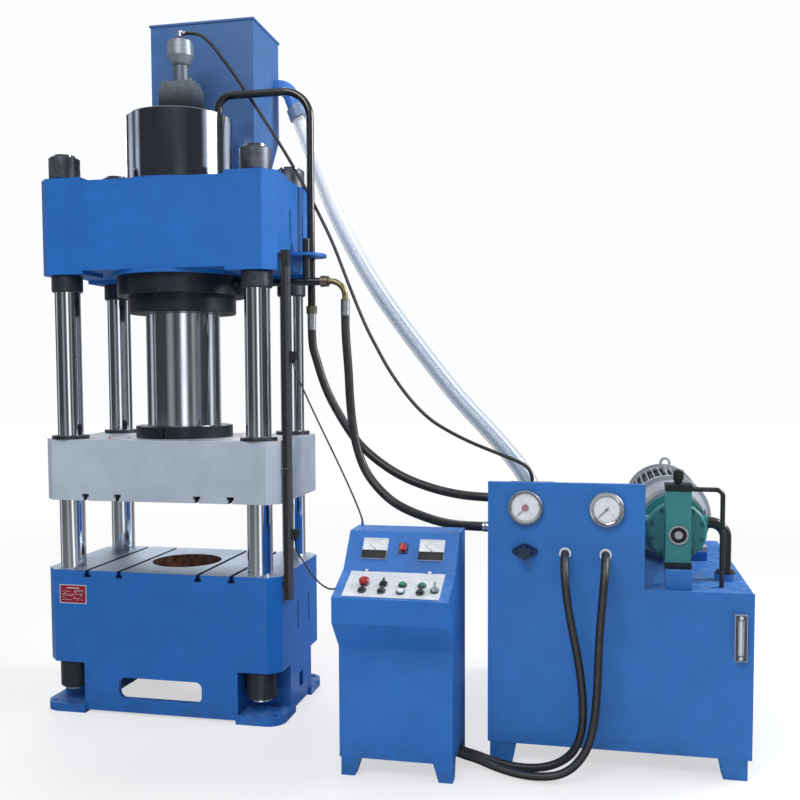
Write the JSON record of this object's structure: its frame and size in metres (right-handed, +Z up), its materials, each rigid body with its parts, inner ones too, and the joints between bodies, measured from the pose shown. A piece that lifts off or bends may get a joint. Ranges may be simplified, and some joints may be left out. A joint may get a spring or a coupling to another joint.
{
  "type": "hydraulic press",
  "caption": "Four-column hydraulic press with a slotted bed and slide, joined by hoses to a control console and a motor-driven power unit.",
  "frame": {"origin": "on the floor, in the middle of the four anchor bolts; the ram moves on the Z axis", "axes": "+X right, towards the console and the power unit; +Y to the rear, away from the operator; +Z up"},
  "size_m": [3.68, 1.858, 3.912],
  "materials": {
    "blue_paint": "gloss paint",
    "slide_paint": "satin paint",
    "bright_steel": "machined",
    "chrome": "polished",
    "black_oxide": "blackened",
    "cylinder_steel": "turned",
    "black_paint": "satin paint",
    "silver_paint": "satin paint",
    "green_paint": "gloss paint",
    "black_rubber": "matt",
    "silver_braid": "braided",
    "grey_cable": "matt",
    "deck_metal": "satin",
    "red_plate": "anodised",
    "white_plastic": "gloss",
    "black_plastic": "gloss",
    "red_plastic": "gloss",
    "green_plastic": "gloss",
    "clear_tube": "clear"
  },
  "bodies": {
    "frame": {"bed": "blue_paint", "columns": "chrome", "column_nuts": "black_oxide", "crown": "blue_paint", "main_cylinder": "cylinder_steel", "cylinder_ring": "black_oxide", "gland_ring": "black_oxide", "prefill_valve": "silver_paint", "prefill_head": "silver_paint", "filling_tank": "blue_paint", "return_elbow": "blue_paint", "press_pipes": "black_paint", "hose_fittings": "bright_steel", "limit_rod": "black_paint", "limit_switches": "black_plastic", "nameplate": "red_plate", "console_cabinet": "blue_paint", "panel_meters": "white_plastic", "oil_tank": "blue_paint", "gauge_panel": "blue_paint", "gauge_cases": "bright_steel", "motor": "silver_paint", "bell_housing": "silver_paint", "pump": "green_paint", "pump_pipes": "black_paint", "valve_block": "black_oxide", "level_gauge": "clear_tube", "pilot_cable": "black_rubber", "return_hose": "silver_braid", "pressure_hose_upper": "black_rubber", "pressure_hose_lower": "black_rubber", "conduits": "grey_cable", "switch_cables": "grey_cable"},
    "slide_unit": {"slide": "slide_paint", "ram": "chrome", "ram_flange": "black_oxide", "guide_bushes": "cylinder_steel", "striker": "bright_steel"},
    "upper_lever": {"upper_switch_lever": "bright_steel"},
    "lower_lever": {"lower_switch_lever": "bright_steel"},
    "deck": {"console_deck": "deck_metal", "control_bezels": "bright_steel"},
    "door": {"console_door": "blue_paint"},
    "volt_needle": {"meter_needle_left": "black_plastic"},
    "amp_needle": {"meter_needle_right": "black_plastic"},
    "main_switch": {"power_switch": "red_plastic"},
    "stop": {"stop_button": "red_plastic"},
    "mode": {"mode_selector": "black_plastic"},
    "start": {"start_button": "green_plastic"},
    "pressing": {"pressing_button": "green_plastic"},
    "key_1": {"push_button_1": "black_plastic"},
    "key_2": {"push_button_2": "black_plastic"},
    "key_3": {"push_button_3": "white_plastic"},
    "key_4": {"push_button_4": "black_plastic"},
    "lever": {"lever_selector": "bright_steel"},
    "left_needle": {"gauge_needle_left": "red_plastic"},
    "right_needle": {"gauge_needle_right": "black_plastic"},
    "relief": {"relief_knob": "black_plastic"},
    "rotor": {"motor_rotor": "bright_steel"},
    "adjuster": {"pump_handwheel": "black_plastic"}
  },
  "joints": [
    {"name": "ram_stroke", "type": "slide", "parent": "frame", "child": "slide_unit", "axis": [0, 0, 1], "range_m": [-0.25, 0.55]},
    {"name": "upper_switch_trip", "type": "hinge", "parent": "frame", "child": "upper_lever", "pos_m": [0.7376, -0.2545, 1.941], "axis": [0, 1, 0], "range_deg": [0, 35], "stiffness_Nm_per_rad": 0.4},
    {"name": "lower_switch_trip", "type": "hinge", "parent": "frame", "child": "lower_lever", "pos_m": [0.7376, -0.2545, 1.007], "axis": [0, -1, 0], "range_deg": [0, 35], "stiffness_Nm_per_rad": 0.4},
    {"name": "deck_lid", "type": "hinge", "parent": "frame", "child": "deck", "pos_m": [1.4085, -0.80272, 0.94054], "axis": [-1, 0, 0], "range_deg": [0, 85]},
    {"name": "cabinet_door", "type": "hinge", "parent": "frame", "child": "door", "pos_m": [1.18, -0.481, 0.565], "axis": [0, 0, 1], "range_deg": [0, 110]},
    {"name": "left_meter_needle", "type": "hinge", "parent": "frame", "child": "volt_needle", "pos_m": [1.282, -0.73098, 1.02813], "axis": [0, 0.779, -0.6271], "range_deg": [0, 100]},
    {"name": "right_meter_needle", "type": "hinge", "parent": "frame", "child": "amp_needle", "pos_m": [1.551, -0.73098, 1.02813], "axis": [0, 0.779, -0.6271], "range_deg": [0, 100]},
    {"name": "main_switch_turn", "type": "hinge", "parent": "frame", "child": "main_switch", "pos_m": [1.415, -0.72393, 1.03529], "axis": [0, 0.779, -0.6271], "range_deg": [0, 90]},
    {"name": "stop_press", "type": "slide", "parent": "deck", "child": "stop", "axis": [0, 0.3834, -0.9236], "range_m": [0, 0.004], "stiffness_N_per_m": 600},
    {"name": "mode_turn", "type": "hinge", "parent": "deck", "child": "mode", "pos_m": [1.362, -0.90309, 0.90364], "axis": [0, 0.3834, -0.9236], "range_deg": [-45, 45]},
    {"name": "start_press", "type": "slide", "parent": "deck", "child": "start", "axis": [0, 0.3834, -0.9236], "range_m": [0, 0.004], "stiffness_N_per_m": 600},
    {"name": "pressing_press", "type": "slide", "parent": "deck", "child": "pressing", "axis": [0, 0.3834, -0.9236], "range_m": [0, 0.004], "stiffness_N_per_m": 600},
    {"name": "key_1_press", "type": "slide", "parent": "deck", "child": "key_1", "axis": [0, 0.3834, -0.9236], "range_m": [0, 0.004], "stiffness_N_per_m": 600},
    {"name": "key_2_press", "type": "slide", "parent": "deck", "child": "key_2", "axis": [0, 0.3834, -0.9236], "range_m": [0, 0.004], "stiffness_N_per_m": 600},
    {"name": "key_3_press", "type": "slide", "parent": "deck", "child": "key_3", "axis": [0, 0.3834, -0.9236], "range_m": [0, 0.004], "stiffness_N_per_m": 600},
    {"name": "key_4_press", "type": "slide", "parent": "deck", "child": "key_4", "axis": [0, 0.3834, -0.9236], "range_m": [0, 0.004], "stiffness_N_per_m": 600},
    {"name": "lever_turn", "type": "hinge", "parent": "deck", "child": "lever", "pos_m": [1.6, -0.93356, 0.89099], "axis": [0, 0.3834, -0.9236], "range_deg": [-45, 45]},
    {"name": "left_gauge_needle", "type": "hinge", "parent": "frame", "child": "left_needle", "pos_m": [1.971, -0.61, 1.221], "axis": [0, 1, 0], "range_deg": [0, 270]},
    {"name": "right_gauge_needle", "type": "hinge", "parent": "frame", "child": "right_needle", "pos_m": [2.34, -0.61, 1.221], "axis": [0, 1, 0], "range_deg": [0, 270]},
    {"name": "relief_turn", "type": "hinge", "parent": "frame", "child": "relief", "pos_m": [1.969, -0.617, 1.015], "axis": [0, 1, 0], "range_deg": [0, 720]},
    {"name": "rotor_spin", "type": "hinge", "parent": "frame", "child": "rotor", "pos_m": [2.665, 0.3, 1.098], "axis": [0, 1, 0], "continuous": true},
    {"name": "adjuster_turn", "type": "hinge", "parent": "frame", "child": "adjuster", "pos_m": [2.665, -0.445, 1.36], "axis": [0, 0, 1], "range_deg": [0, 720]}
  ]
}
